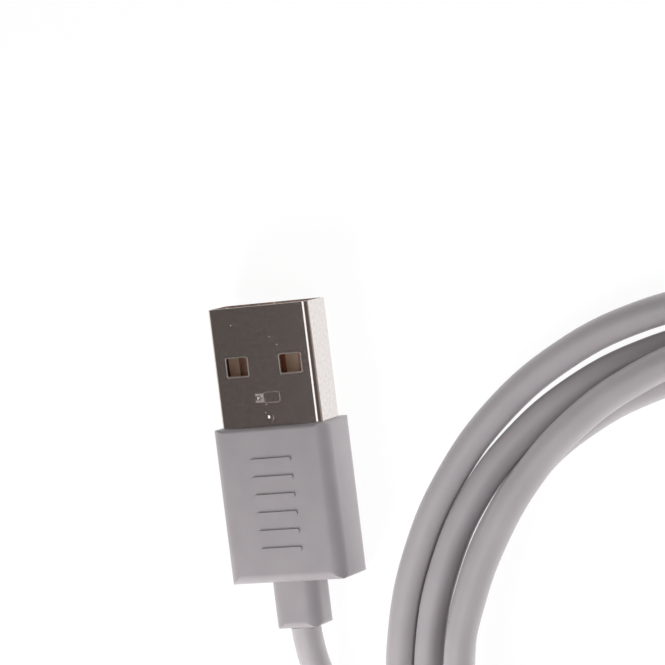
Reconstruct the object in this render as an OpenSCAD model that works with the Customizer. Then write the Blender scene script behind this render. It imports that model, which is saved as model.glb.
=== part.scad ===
// Charging cable with a flat four-contact plug, a loose coil of round cord and a small reversible plug.
// Millimetres. +Y runs along the first plug towards its tip, +Z is up, and the cable lies on z = 0.

/* [Plug shell] */
// Width of the metal shell
shell_w = 12.0; // [11.6:0.1:12.4]
// Thickness of the metal shell
shell_t = 4.5; // [4.4:0.05:4.8]
// Thickness of the shell's sheet metal
shell_wall = 0.3; // [0.2:0.05:0.35]
// Outer radius of the shell's four bent edges
shell_bend_r = 0.65; // [0.5:0.05:0.9]
// Length of shell that stands out of the grip
shell_exposed = 12.7; // [12.2:0.1:14]
// Length of shell that is held inside the grip
shell_buried = 6.0; // [5.4:0.1:6.6]

/* [Latch windows and pressings] */
// Width of a latch window
window_w = 2.8; // [2.2:0.1:3]
// Length of a latch window along the plug
window_l = 2.3; // [1.8:0.1:2.6]
// Distance from the tip of the shell to the windows
window_from_tip = 5.12; // [4.8:0.02:5.4]
// Distance between the centres of the two windows
window_spacing = 6.3; // [6:0.1:6.6]
// Corner radius of a window
window_r = 0.3; // [0.25:0.05:0.5]
// How far a window's pressed edge leans in from the shell's face
window_lean = 0.12; // [0.08:0.02:0.16]
// Depth of the leaning edge
window_lean_depth = 0.2; // [0.1:0.02:0.24]
// Width of the formed lance behind the windows
lance_w = 2.9; // [2.4:0.1:3.4]
// Length of the lance along the plug
lance_l = 1.2; // [0.9:0.1:1.4]
// Distance from the tip of the shell to the lance
lance_from_tip = 9.1; // [8.9:0.1:9.4]
// Corner radius of the lance's floor
lance_r = 0.2; // [0.1:0.05:0.3]
// Width of the lance's sloping end
lance_lip_w = 1.0; // [0.6:0.1:1.4]
// Depth of the sloping end where it meets the rest of the lance
lance_lip_depth = 0.08; // [0.04:0.01:0.1]
// Depth to which the lance is pressed in
lance_depth = 0.12; // [0.1:0.01:0.15]
// Diameter of the punch mark in the lance's sloping end
lance_mark_d = 0.5; // [0.3:0.1:0.6]
// Depth of the punch mark
lance_mark_depth = 0.1; // [0.06:0.02:0.14]
// Diameter of the round dimple
dimple_d = 1.0; // [0.6:0.1:1.3]
// Depth of the round dimple
dimple_depth = 0.16; // [0.08:0.02:0.18]
// Distance from the tip of the shell to the middle of the dimple
dimple_from_tip = 11.8; // [11.3:0.1:11.9]
// Width of the closed seam along the underside of the shell
seam_gap = 0.08; // [0.05:0.01:0.15]
// Distance from the tip of the shell to the front of the seam's dovetail
lock_from_tip = 8.5; // [8.2:0.1:9.2]
// Length of the dovetail along the seam
lock_l = 2.0; // [1.6:0.1:2.4]
// Width of the dovetail
lock_w = 1.6; // [1.2:0.1:2]
// How far the dovetail widens towards its edge
lock_flare = 0.3; // [0.1:0.05:0.4]

/* [Insulator and contacts] */
// Thickness of the tongue that carries the contacts
tongue_t = 1.84; // [1.6:0.02:2]
// Distance from the tip of the shell to the front of the tongue
tongue_recess = 0.5; // [0.3:0.1:1]
// Depth of the open space over the tongue
cavity_depth = 8.8; // [8.6:0.1:9.2]
// Length of the solder deck behind the shell
deck_l = 3.0; // [2.5:0.1:3.5]
// Width of one contact
contact_w = 1.0; // [0.8:0.05:1.1]
// Thickness of one contact
contact_t = 0.3; // [0.2:0.05:0.35]
// How far a contact stands out of the tongue
contact_proud = 0.1; // [0.05:0.01:0.15]
// Distance between the middles of the two outer contacts
outer_pitch = 7.0; // [6.8:0.1:7.2]
// Distance between the middles of the two inner contacts
inner_pitch = 2.0; // [1.8:0.1:2.4]
// Distance from the front of the tongue to the outer contacts
contact_recess = 0.5; // [0.3:0.1:0.8]
// How much further forward the outer contacts reach
outer_lead = 1.0; // [0.5:0.1:1.4]

/* [Grip and neck] */
// Width of the moulded grip
grip_w = 13.6; // [13.5:0.1:15]
// Thickness of the moulded grip
grip_t = 6.7; // [6.4:0.1:8]
// Length of the moulded grip
grip_l = 16.6; // [16:0.1:20]
// Radius of the grip's long edges
grip_edge_r = 1.5; // [0.8:0.1:1.8]
// Radius of the grip's rear edges, top and bottom
grip_rear_r = 1.0; // [0.6:0.1:1.4]
// Radius of the grip's front edges and of its corners seen from above
grip_corner_r = 0.45; // [0.2:0.05:0.6]
// Width of the neck that relieves the cord
neck_w = 5.4; // [5:0.1:6]
// Thickness of the neck
neck_t = 4.6; // [4.4:0.1:5]
// Length of the neck
neck_l = 5.1; // [4:0.1:7]
// Radius of the neck's long edges
neck_edge_r = 1.6; // [1:0.1:2]
// Radius of the neck's rear edges, top and bottom
neck_rear_r = 0.7; // [0.4:0.1:1]
// Radius of the neck's corners seen from above
neck_corner_r = 0.7; // [0.2:0.1:0.8]
// Number of raised ribs on the grip
rib_count = 6; // [3:1:7]
// Length of one rib across the grip
rib_w = 4.8; // [3:0.2:7]
// Width of one rib
rib_l = 0.5; // [0.3:0.05:0.8]
// Distance from one rib to the next
rib_pitch = 1.9; // [1.2:0.1:2]
// Height of a rib over the grip
rib_h = 0.14; // [0.08:0.02:0.3]

/* [Cable] */
// Outer diameter of the cord
cable_d = 3.2; // [3:0.1:3.4]
// Diameter of one insulated wire
wire_d = 0.9; // [0.7:0.05:1]
// Diameter of the bare copper of a wire
wire_core_d = 0.54; // [0.4:0.02:0.6]
// Straight length of a wire where it leaves the jacket
wire_straight = 1.0; // [0.6:0.1:1.4]
// Length of insulated wire that lies over the solder deck
wire_over_deck = 0.4; // [0.2:0.1:0.6]
// Length of bare copper soldered down
solder_l = 1.8; // [1.2:0.1:2]
// Thickness of the braid folded back over the jacket
braid_t = 0.15; // [0.1:0.05:0.2]
// Length of the folded braid
braid_l = 3.0; // [2:0.1:3.4]

/* [Rear shield] */
// Thickness of the shield's sheet metal
can_wall = 0.25; // [0.2:0.05:0.3]
// Overlap of the shield over the rear of the shell
can_overlap = 2.0; // [1:0.1:2.6]
// Length of the shield behind the shell
can_l = 7.6; // [7:0.1:8]
// Length of the shield's crimp ring
crimp_l = 2.4; // [1.8:0.1:2.6]
// Length of the cord's jacket that reaches into the shield
jacket_inset = 0.4; // [0.3:0.05:0.6]

/* [Far plug] */
// Width of the far plug's shell
far_shell_w = 8.25; // [8.1:0.05:8.4]
// Thickness of the far plug's shell
far_shell_t = 2.4; // [2.35:0.05:2.6]
// Thickness of the far shell's metal
far_wall = 0.25; // [0.2:0.05:0.3]
// Length of far shell that stands out of its grip
far_exposed = 6.65; // [6.4:0.05:7]
// Length of far shell that is held inside its grip
far_buried = 4.0; // [3.6:0.1:4.4]
// Width of the far grip
far_grip_w = 11.0; // [10.6:0.1:12]
// Thickness of the far grip
far_grip_t = 5.6; // [5.5:0.1:6.4]
// Length of the far grip
far_grip_l = 17.0; // [16.4:0.1:19]
// Radius of the far grip's long edges
far_edge_r = 2.2; // [1.6:0.1:2.6]
// Length of the far neck
far_neck_l = 5.0; // [4:0.1:6]
// Radius of the far grip's rear edges, top and bottom
far_rear_r = 1.0; // [0.6:0.1:1.4]
// Distance from the far plug's tip to its housing
far_recess = 0.3; // [0.2:0.05:0.4]
// Height of the slot in the far plug's mouth
far_slot_t = 0.8; // [0.7:0.05:0.9]
// Width of the slot in the far plug's mouth
far_slot_w = 6.7; // [6.5:0.05:6.9]
// Depth of the slot in the far plug's mouth
far_slot_depth = 5.2; // [4.8:0.1:5.6]
// Distance from one far contact to the next
far_pitch = 0.5; // [0.45:0.01:0.52]
// Thickness of a far contact
far_blade_t = 0.12; // [0.1:0.01:0.16]
// Distance from the far plug's tip to its contacts
far_contact_recess = 1.2; // [1:0.1:1.6]
// Length of a far contact's tail on the board
far_contact_tail = 1.5; // [1:0.1:2]
// Thickness of the side latch spring
spring_t = 0.2; // [0.15:0.01:0.22]
// Height of the side latch spring
spring_h = 0.6; // [0.5:0.05:0.8]
// Distance from the far plug's tip to the latch spring
spring_recess = 1.8; // [1.4:0.1:2.4]
// Size of the nub at the end of each arm of the spring, along the plug
nub_l = 0.5; // [0.3:0.1:0.8]
// Thickness of the far plug's paddle board
board_t = 0.6; // [0.4:0.05:0.7]
// Length of the far plug's paddle board
board_l = 5.0; // [4.4:0.1:5.4]
// Width of the far plug's paddle board
board_w = 6.95; // [6.6:0.05:7.2]
// Length of the resistor on the board
resistor_l = 1.0; // [0.6:0.1:1.4]
// Width of the resistor
resistor_w = 0.5; // [0.3:0.05:0.7]
// Height of the resistor
resistor_h = 0.35; // [0.2:0.05:0.4]
// Thickness of the far plug's inner mould
far_mould_t = 3.6; // [3.4:0.1:3.8]
// Radius of the far inner mould's long edges
far_mould_r = 1.0; // [0.6:0.1:1.2]
// Length of the far plug's rear shield, without its crimp ring
far_can_l = 8.4; // [8:0.1:8.8]
// Distance between the far ends of two wires
far_wire_pitch = 1.6; // [1.3:0.1:1.8]

/* [Coil] */
// Radius of the outermost turn's middle line where the coil is roundest
coil_r = 42; // [40:0.5:44]
// Radius of the same line at the coil's two tighter corners
coil_corner_r = 32; // [28:0.5:34]
// Thickness of the bundle, from its outer face to its inner one
bundle_w = 11.6; // [10:0.2:13]
// Thickness of the turns that lie on top, in from the bundle's inner face
upper_w = 6.6; // [5:0.2:8]
// Height of the coil
coil_h = 6.6; // [6.2:0.1:7.5]

/* [Hidden] */
$fn = 48;

// Running clearance between pieces that slide together
fit_gap = 0.05;
// Spare length by which a cutting tool passes a face
past = 1;
// Clear length of a wire between its last bend and the deck or board
wire_clear = 0.3;
// Number of sides of a small round mark
small_fn = 24;

// Stations along the first plug
plug_l = shell_exposed + grip_l + neck_l;
tip_y = plug_l / 2;
grip_front_y = tip_y - shell_exposed;
grip_rear_y = grip_front_y - grip_l;
neck_end_y = -plug_l / 2;
shell_rear_y = grip_front_y - shell_buried;
block_front_y = tip_y - cavity_depth;
deck_rear_y = shell_rear_y - deck_l;
can_front_y = shell_rear_y + can_overlap;
can_rear_y = shell_rear_y - can_l;

// Heights of the first plug
axis_z = grip_t / 2;
shell_in_w = shell_w - 2 * shell_wall;
shell_in_t = shell_t - 2 * shell_wall;
shell_in_r = max(0.1, shell_bend_r - shell_wall);
block_w = shell_in_w - 2 * fit_gap;
block_t = shell_in_t - 2 * fit_gap;
floor_z = axis_z - block_t / 2;
tongue_top_z = floor_z + tongue_t;
contact_top_z = tongue_top_z + contact_proud;
contact_low_z = contact_top_z - contact_t;
can_w = shell_w + 2 * can_wall;
can_t = shell_t + 2 * can_wall;

// Wires of the first plug: where each leaves the jacket and where it is soldered
core_r = (wire_d + 2 * fit_gap) * sqrt(2) / 2;
jacket_front_y = can_rear_y + jacket_inset;
wire_bend_y = jacket_front_y + wire_straight;
wire_bare_y = deck_rear_y + wire_over_deck;
wire_solder_z = contact_top_z + wire_core_d / 2;

// The crimp holds the braid, and the braid the jacket
braid_d = cable_d + 2 * braid_t;
crimp_d = braid_d + 2 * can_wall;

function contact_x(i) = [-outer_pitch, -inner_pitch, inner_pitch, outer_pitch][i] / 2;
function is_outer(i) = i == 0 || i == 3;
function core_at(i) = core_r * [[-1, 0, 0], [0, 0, -1], [0, 0, 1], [1, 0, 0]][i];

// Stations along the far plug, measured from where the cord enters it
far_face_y = far_neck_l + far_grip_l;
far_tip_y = far_face_y + far_exposed;
far_shell_rear_y = far_face_y - far_buried;
far_axis_z = far_grip_t / 2;
far_in_w = far_shell_w - 2 * far_wall;
far_in_t = far_shell_t - 2 * far_wall;
far_board_front_y = far_shell_rear_y;
far_board_rear_y = far_board_front_y - board_l;
far_can_rear_y = far_board_front_y - far_can_l;
far_jacket_y = far_can_rear_y + jacket_inset;

// Where the far plug lies, and the way that it points
far_at = [34, -37, 0];
far_turn = -70;

// Route of the cord from the neck to the coil, and from the coil to the far plug
LEAD_ROUTE = [
    [0, neck_end_y, axis_z], [0.2, -20, 3.2], [0.6, -23, 2.6], [1.8, -28, 1.9], [3.6, -33, 1.6],
    [7, -40, 1.6], [12, -47.5, 1.6], [18, -53, 1.6]
];
TAIL_ROUTE = [
    [18, -28.4, 4.6], [20, -32.8, 4.1], [23.8, -36.2, 3.4], [28.6, -37.8, 2.9],
    [far_at[0], far_at[1], far_axis_z]
];

// Plan of the coil: a large arc about one centre and two tighter ones about two others
coil_centre = [51.2, -28.8];
arc_from = 95;
arc_to = 178;
arc_blend = 5;
arc_steps = 10;
corner_steps = 18;
function polar(r, t) = r * [cos(t), sin(t)];
corner_b = coil_centre + polar(coil_r - coil_corner_r, arc_from);
corner_a = coil_centre + polar(coil_r - coil_corner_r, arc_to);
side_dir = corner_b - corner_a;
side_angle = atan2(side_dir[1], side_dir[0]) - 90;
function arc_points(centre, r, from, to, steps) =
    [for (i = [0:steps]) centre + polar(r, from + (to - from) * i / steps)];
function coil_plan(inset) = concat(
    arc_points(corner_b, coil_corner_r - inset, side_angle, arc_from, corner_steps),
    arc_points(coil_centre, coil_r - inset, arc_from + arc_blend, arc_to - arc_blend, arc_steps),
    arc_points(corner_a, coil_corner_r - inset, arc_to, side_angle + 360, corner_steps)
);

// A tube of eight sides swept along a route
TUBE_SIDES = 8;
function unit(v) = v / norm(v);
function heading(route, i) =
    unit(route[min(i + 1, len(route) - 1)] - route[max(i - 1, 0)]);
function tube_ring(route, i, r, flat_end) =
    let (
        t = i == flat_end[0] ? flat_end[1] : heading(route, i),
        side = unit(cross(t, [0, 0, 1])),
        up = cross(side, t)
    )
    [for (k = [0:TUBE_SIDES - 1])
        let (a = 360 * (k + 0.5) / TUBE_SIDES) route[i] + r * (cos(a) * side + sin(a) * up)];
function tube_sides(rings) = [
    for (i = [0:rings - 2], k = [0:TUBE_SIDES - 1])
        let (
            a = i * TUBE_SIDES + k,
            b = i * TUBE_SIDES + (k + 1) % TUBE_SIDES
        )
        each [[a, b, b + TUBE_SIDES], [a, b + TUBE_SIDES, a + TUBE_SIDES]]
];

// The diameter is one number, or a list with one for each point of the route
module swept_tube(route, d, flat_end) {
    rings = len(route);
    last = (rings - 1) * TUBE_SIDES;
    r = [for (i = [0:rings - 1]) (is_list(d) ? d[i] : d) / 2];
    polyhedron(
        points = [for (i = [0:rings - 1]) each tube_ring(route, i, r[i], flat_end)],
        faces = concat(
            [[for (k = [TUBE_SIDES - 1:-1:0]) k]],
            tube_sides(rings),
            [[for (k = [0:TUBE_SIDES - 1]) last + k]]
        )
    );
}

// Flat outline helpers
module rounded_rect(w, h, r) {
    square([w - 2 * r, h], center = true);
    square([w, h - 2 * r], center = true);
    for (x = [-1, 1], y = [-1, 1])
        translate([x * (w / 2 - r), y * (h / 2 - r)]) circle(r);
}

module stadium(w, h) {
    square([w - h, h], center = true);
    for (x = [-1, 1])
        translate([x * (w - h) / 2, 0]) circle(d = h);
}

// Extrusions of such outlines: backwards from a station, and across the plug
module along_y(front, length, z) {
    translate([0, front, z]) rotate([90, 0, 0]) linear_extrude(length) children();
}

module across_x(width) {
    rotate([90, 0, 90]) linear_extrude(width, center = true) children();
}

// A block with rounded long edges and rear edges, and its front edges and corners softened
module moulded_block(w, t, front, length, edge_r, rear_r, corner_r) {
    middle = front - length / 2;
    intersection() {
        along_y(front, length, 0) rounded_rect(w, t, edge_r);
        translate([0, middle, -t]) linear_extrude(2 * t) rounded_rect(w, length, corner_r);
        translate([0, middle + rear_r / 2, 0])
            across_x(w + past) rounded_rect(length + rear_r, t, rear_r);
        translate([0, middle - corner_r / 2, 0])
            across_x(w + past) rounded_rect(length + corner_r, t, corner_r);
    }
}

// A cut into the face z = 0, w by l at its foot, whose sides lean out by an amount up to that face
module leaning_cut(w, l, r, depth, lean) {
    for (x = [-1, 1], y = [-1, 1])
        translate([x * (w / 2 - r), y * (l / 2 - r), -depth])
            cylinder(h = 2 * depth, r1 = r, r2 = r + 2 * lean);
    along_y(l / 2 - r, l - 2 * r, 0) leaning_side(w, depth, lean);
    across_x(w - 2 * r) leaning_side(l, depth, lean);
}

module leaning_side(w, depth, lean) {
    top_x = w / 2 + 2 * lean;
    polygon([[-w / 2, -depth], [w / 2, -depth], [top_x, depth], [-top_x, depth]]);
}

// A round mark pressed by a ball into the face z = 0
module ball_mark(d, depth) {
    ball_r = (pow(d / 2, 2) + pow(depth, 2)) / (2 * depth);
    translate([0, 0, ball_r - depth]) sphere(ball_r);
}

// First plug

// Latch windows in the upper and the lower face, with their edges pressed inwards
module windows_cut() {
    w = window_w - 2 * window_lean;
    l = window_l - 2 * window_lean;
    r = window_r - window_lean;
    for (x = [-1, 1])
        translate([x * window_spacing / 2, tip_y - window_from_tip - window_l / 2]) {
            linear_extrude(2 * axis_z + past) rounded_rect(w, l, r);
            for (side = [0, 1])
                translate([0, 0, axis_z]) mirror([0, 0, side]) translate([0, 0, shell_t / 2])
                    leaning_cut(w, l, r, window_lean_depth, window_lean);
        }
}

module shell_tube() {
    difference() {
        along_y(tip_y, tip_y - shell_rear_y, axis_z) rounded_rect(shell_w, shell_t, shell_bend_r);
        along_y(tip_y + past, tip_y - shell_rear_y + 2 * past, axis_z)
            rounded_rect(shell_in_w, shell_in_t, shell_in_r);
    }
}

// Outline of the dovetail, drawn in from its edge by an amount
module dovetail(inset) {
    front_y = tip_y - lock_from_tip;
    edge_x = lock_w - inset;
    polygon([
        [-seam_gap - inset, front_y - inset], [edge_x, front_y + lock_flare - inset],
        [edge_x, front_y - lock_l - lock_flare + inset], [-seam_gap - inset, front_y - lock_l + inset]
    ]);
}

// The seam on the underside, with the dovetail that locks its two edges
module seam_cut() {
    lock_front_y = tip_y - lock_from_tip;
    lock_rear_y = lock_front_y - lock_l;
    translate([-seam_gap / 2, shell_rear_y - past])
        square([seam_gap, lock_rear_y - shell_rear_y + past]);
    translate([-seam_gap / 2, lock_front_y])
        square([seam_gap, lock_from_tip + past]);
    difference() {
        dovetail(0);
        dovetail(seam_gap);
    }
}

// Lance and dimple, pressed into the upper face from outside
module pressings_cut() {
    floor_l = lance_l - 2 * lance_depth;
    edge_x = lance_lip_w - lance_w / 2;
    past_edge = lance_lip_depth * (1 + lance_depth / lance_lip_w);
    translate([0, tip_y - lance_from_tip - lance_l / 2, axis_z + shell_t / 2]) {
        translate([lance_lip_w / 2, 0])
            leaning_cut(
                lance_w - lance_lip_w - 2 * lance_depth, floor_l, lance_r, lance_depth, lance_depth
            );
        along_y(floor_l / 2, floor_l, 0)
            polygon([
                [edge_x - lance_lip_w, 0], [edge_x + lance_depth, -past_edge],
                [edge_x + lance_depth, past], [edge_x - lance_lip_w, past]
            ]);
        translate([edge_x - lance_lip_w / 2, 0])
            ball_mark(lance_mark_d, lance_mark_depth, $fn = small_fn);
    }
    translate([0, tip_y - dimple_from_tip, axis_z + shell_t / 2])
        ball_mark(dimple_d, dimple_depth);
}

module plug_shell() {
    color("silver") difference() {
        shell_tube();
        windows_cut();
        linear_extrude(axis_z) seam_cut();
        pressings_cut();
    }
}

// Side view of one contact, from its blunt nose to its solder tail
module contact(i) {
    nose_y = tip_y - tongue_recess - contact_recess - (is_outer(i) ? 0 : outer_lead);
    translate([contact_x(i), 0, 0])
        across_x(contact_w)
            polygon([
                [nose_y, contact_low_z], [nose_y, contact_low_z + contact_t / 2],
                [nose_y - contact_t, contact_top_z], [deck_rear_y, contact_top_z],
                [deck_rear_y, contact_low_z]
            ]);
}

module all_contacts() {
    for (i = [0:3]) contact(i);
}

module tongue_and_deck() {
    width = block_w - 2 * shell_in_r;
    translate([-width / 2, deck_rear_y, floor_z])
        cube([width, tip_y - tongue_recess - deck_rear_y, tongue_t]);
}

module insulator() {
    color("white") difference() {
        union() {
            along_y(block_front_y, block_front_y - shell_rear_y, axis_z)
                rounded_rect(block_w, block_t, shell_in_r);
            tongue_and_deck();
        }
        all_contacts();
    }
}

module contact_supply() { color("gold") contact(0); }
module contact_data_minus() { color("gold") contact(1); }
module contact_data_plus() { color("gold") contact(2); }
module contact_ground() { color("gold") contact(3); }

// One wire: straight out of the jacket, across to its contact, then bare on the solder tail
module wire(i) {
    leave = core_at(i) + [0, 0, axis_z];
    x = contact_x(i);
    land_z = contact_top_z + wire_d / 2;
    route = [
        leave + [0, jacket_front_y, 0], leave + [0, wire_bend_y, 0],
        [x, deck_rear_y - wire_clear, land_z], [x, wire_bare_y, land_z],
        [x, wire_bare_y + fit_gap, wire_solder_z], [x, wire_bare_y + solder_l, wire_solder_z]
    ];
    swept_tube(route, [wire_d, wire_d, wire_d, wire_d, wire_core_d, wire_core_d], [0, [0, 1, 0]]);
}

module all_wires() {
    for (i = [0:3]) wire(i);
}

module wire_red() { color("red") wire(0); }
module wire_white() { color("white") wire(1); }
module wire_green() { color("green") wire(2); }
module wire_black() { color("black") wire(3); }

module jacket_end() {
    color("gainsboro") along_y(jacket_front_y, jacket_front_y - neck_end_y, axis_z)
        circle(d = cable_d);
}

module braid() {
    color("goldenrod") along_y(jacket_front_y, braid_l, axis_z)
        difference() {
            circle(d = braid_d);
            circle(d = cable_d);
        }
}

module inner_mould() {
    color("ivory") difference() {
        along_y(shell_rear_y, shell_rear_y - jacket_front_y, axis_z)
            rounded_rect(shell_w - 2 * fit_gap, shell_t - 2 * fit_gap, shell_bend_r);
        tongue_and_deck();
        all_contacts();
        all_wires();
    }
}

module shield_body() {
    along_y(can_front_y, can_front_y - can_rear_y, axis_z)
        rounded_rect(can_w, can_t, shell_bend_r + can_wall);
    along_y(can_rear_y, crimp_l, axis_z) circle(d = crimp_d);
}

module rear_shield() {
    color("lightgrey") difference() {
        shield_body();
        along_y(can_front_y + past, can_front_y - can_rear_y + past - can_wall, axis_z)
            rounded_rect(shell_w, shell_t, shell_bend_r);
        along_y(can_rear_y + can_wall + past, crimp_l + can_wall + 2 * past, axis_z)
            circle(d = braid_d);
    }
}

module grip_ribs() {
    for (i = [0:rib_count - 1])
        translate([0, (grip_front_y + grip_rear_y) / 2 + (i - (rib_count - 1) / 2) * rib_pitch, 0])
            linear_extrude(grip_t + rib_h) stadium(rib_w, rib_l);
}

module grip() {
    color("lightgrey") difference() {
        union() {
            translate([0, 0, axis_z])
                moulded_block(
                    grip_w, grip_t, grip_front_y, grip_l, grip_edge_r, grip_rear_r, grip_corner_r
                );
            translate([0, 0, axis_z])
                moulded_block(
                    neck_w, neck_t, grip_rear_y + past, neck_l + past, neck_edge_r, neck_rear_r,
                    neck_corner_r
                );
            intersection() {
                grip_ribs();
                translate([-grip_w / 2, grip_rear_y, axis_z])
                    cube([grip_w, grip_l, grip_t]);
            }
        }
        shell_hole();
        shield_body();
        along_y(jacket_front_y, braid_l, axis_z) circle(d = braid_d);
        along_y(grip_rear_y + neck_l, 2 * neck_l + past, axis_z) circle(d = cable_d);
    }
}

module shell_hole() {
    along_y(grip_front_y + past, grip_front_y - shell_rear_y + past, axis_z)
        rounded_rect(shell_w, shell_t, shell_bend_r);
}

// Cord

module cord_lead() {
    color("gainsboro") swept_tube(LEAD_ROUTE, cable_d, [0, [0, -1, 0]]);
}

module cord_coil() {
    color("gainsboro") union() {
        linear_extrude(cable_d) difference() {
            polygon(coil_plan(-cable_d / 2));
            polygon(coil_plan(bundle_w - cable_d / 2));
        }
        linear_extrude(coil_h) difference() {
            polygon(coil_plan(bundle_w - upper_w - cable_d / 2));
            polygon(coil_plan(bundle_w - cable_d / 2));
        }
    }
}

module cord_tail() {
    last = len(TAIL_ROUTE) - 1;
    color("gainsboro")
        swept_tube(TAIL_ROUTE, cable_d, [last, [-sin(far_turn), cos(far_turn), 0]]);
}

// Far plug, drawn along its own Y and then laid down where it belongs

module lay_far() {
    translate(far_at) rotate([0, 0, far_turn]) children();
}

module far_shell() {
    length = far_tip_y - far_shell_rear_y;
    color("silver") lay_far() difference() {
        along_y(far_tip_y, length, far_axis_z) stadium(far_shell_w, far_shell_t);
        along_y(far_tip_y + past, length + 2 * past, far_axis_z) stadium(far_in_w, far_in_t);
    }
}

// Side view of one far contact: blade above or below the slot, then a tail on the board
module far_contact(x, way) {
    blade_z = way * (far_slot_t + far_blade_t) / 2;
    tail_z = way * (board_t + far_blade_t) / 2;
    half_t = far_blade_t / 2;
    front_y = far_tip_y - far_contact_recess;
    step_y = far_board_front_y + 2 * wire_clear;
    translate([x, 0, far_axis_z])
        across_x(far_pitch / 2)
            polygon([
                [front_y, blade_z - half_t], [front_y, blade_z + half_t],
                [step_y, blade_z + half_t], [far_board_front_y + fit_gap, tail_z + half_t],
                [far_board_front_y - far_contact_tail, tail_z + half_t],
                [far_board_front_y - far_contact_tail, tail_z - half_t],
                [far_board_front_y + fit_gap, tail_z - half_t], [step_y, blade_z - half_t]
            ]);
}

function far_upper_slots() = [-5.5, -2.5, -1.5, -0.5, 0.5, 2.5, 5.5];
function far_lower_slots() = [-5.5, -2.5, -1.5, 2.5, 5.5];

module far_row(slots, way) {
    for (s = slots) far_contact(s * far_pitch, way);
}

// The two arms of the latch spring, each with a nub that stands into the slot
module far_spring() {
    rear_y = far_shell_rear_y + 2 * wire_clear;
    arm_l = far_tip_y - spring_recess - rear_y;
    arm_x = (far_slot_w + spring_t) / 2;
    for (x = [-1, 1]) {
        translate([x * (arm_x + fit_gap) - spring_t / 2, rear_y, far_axis_z - spring_h / 2])
            cube([spring_t, arm_l, spring_h]);
        translate([x * arm_x - spring_t, rear_y + arm_l - nub_l, far_axis_z - spring_h / 4])
            cube([2 * spring_t, nub_l, spring_h / 2]);
    }
}

module far_housing() {
    front_y = far_tip_y - far_recess;
    color("dimgray") lay_far() difference() {
        along_y(front_y, front_y - far_shell_rear_y, far_axis_z)
            stadium(far_in_w - 2 * fit_gap, far_in_t - 2 * fit_gap);
        along_y(front_y + past, past + far_slot_depth, far_axis_z)
            rounded_rect(far_slot_w, far_slot_t, far_slot_t / 4);
        far_row(far_upper_slots(), 1);
        far_row(far_lower_slots(), -1);
        far_spring();
    }
}

module far_contacts_upper() { color("gold") lay_far() far_row(far_upper_slots(), 1); }
module far_contacts_lower() { color("gold") lay_far() far_row(far_lower_slots(), -1); }
module far_latch_spring() { color("silver") lay_far() far_spring(); }

module board_shape() {
    translate([-board_w / 2, far_board_rear_y, far_axis_z - board_t / 2])
        cube([board_w, board_l, board_t]);
}

// The resistor sits under the board, halfway between its rear edge and the contacts
module resistor_shape() {
    room = board_l - far_contact_tail;
    translate([0, far_board_rear_y + (room - resistor_w) / 2, far_axis_z - board_t / 2 - resistor_h])
        cube([resistor_l, resistor_w, resistor_h]);
}

module far_board() { color("green") lay_far() board_shape(); }
module far_resistor() { color("black") lay_far() resistor_shape(); }

module far_wire(i) {
    leave = core_at(i) + [0, far_jacket_y, far_axis_z];
    x = (i - 1.5) * far_wire_pitch;
    board_z = far_axis_z + board_t / 2;
    land_z = board_z + wire_d / 2;
    bare_z = board_z + wire_core_d / 2;
    bare_y = far_board_rear_y + wire_clear;
    route = [
        leave, leave + [0, wire_clear, 0], [x, far_board_rear_y - wire_clear, land_z],
        [x, bare_y, land_z], [x, bare_y + fit_gap, bare_z], [x, bare_y + solder_l / 2, bare_z]
    ];
    swept_tube(route, [wire_d, wire_d, wire_d, wire_d, wire_core_d, wire_core_d], [0, [0, 1, 0]]);
}

module far_wire_red() { color("red") lay_far() far_wire(0); }
module far_wire_white() { color("white") lay_far() far_wire(1); }
module far_wire_green() { color("green") lay_far() far_wire(2); }
module far_wire_black() { color("black") lay_far() far_wire(3); }

module far_jacket_end() {
    color("gainsboro") lay_far() along_y(far_jacket_y, far_jacket_y, far_axis_z)
        circle(d = cable_d);
}

// Outline shared by the far inner mould and, with its wall, by the shield round it
module far_mould_outline(wall) {
    rounded_rect(far_shell_w + 2 * wall, far_mould_t + 2 * wall, far_mould_r + wall);
}

module far_inner_mould() {
    color("ivory") lay_far() difference() {
        along_y(far_board_front_y, far_board_front_y - far_jacket_y, far_axis_z)
            far_mould_outline(0);
        board_shape();
        resistor_shape();
        far_row(far_upper_slots(), 1);
        far_row(far_lower_slots(), -1);
        for (i = [0:3]) far_wire(i);
    }
}

module far_shield_body() {
    along_y(far_board_front_y, far_can_l, far_axis_z) far_mould_outline(can_wall);
    along_y(far_can_rear_y, crimp_l, far_axis_z) circle(d = cable_d + 2 * can_wall);
}

module far_shield() {
    color("lightgrey") lay_far() difference() {
        far_shield_body();
        along_y(far_board_front_y + past, far_can_l + past - can_wall, far_axis_z)
            far_mould_outline(0);
        along_y(far_can_rear_y + can_wall + past, crimp_l + can_wall + 2 * past, far_axis_z)
            circle(d = cable_d);
    }
}

module far_grip() {
    color("lightgrey") lay_far() difference() {
        translate([0, 0, far_axis_z]) union() {
            moulded_block(
                far_grip_w, far_grip_t, far_face_y, far_grip_l, far_edge_r, far_rear_r, grip_corner_r
            );
            moulded_block(
                neck_w, neck_t, far_neck_l + past, far_neck_l + past, neck_edge_r, neck_rear_r,
                neck_corner_r
            );
        }
        along_y(far_face_y + past, far_buried + past, far_axis_z)
            stadium(far_shell_w, far_shell_t);
        far_shield_body();
        along_y(far_can_rear_y, far_can_rear_y + past, far_axis_z) circle(d = cable_d);
    }
}

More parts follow.
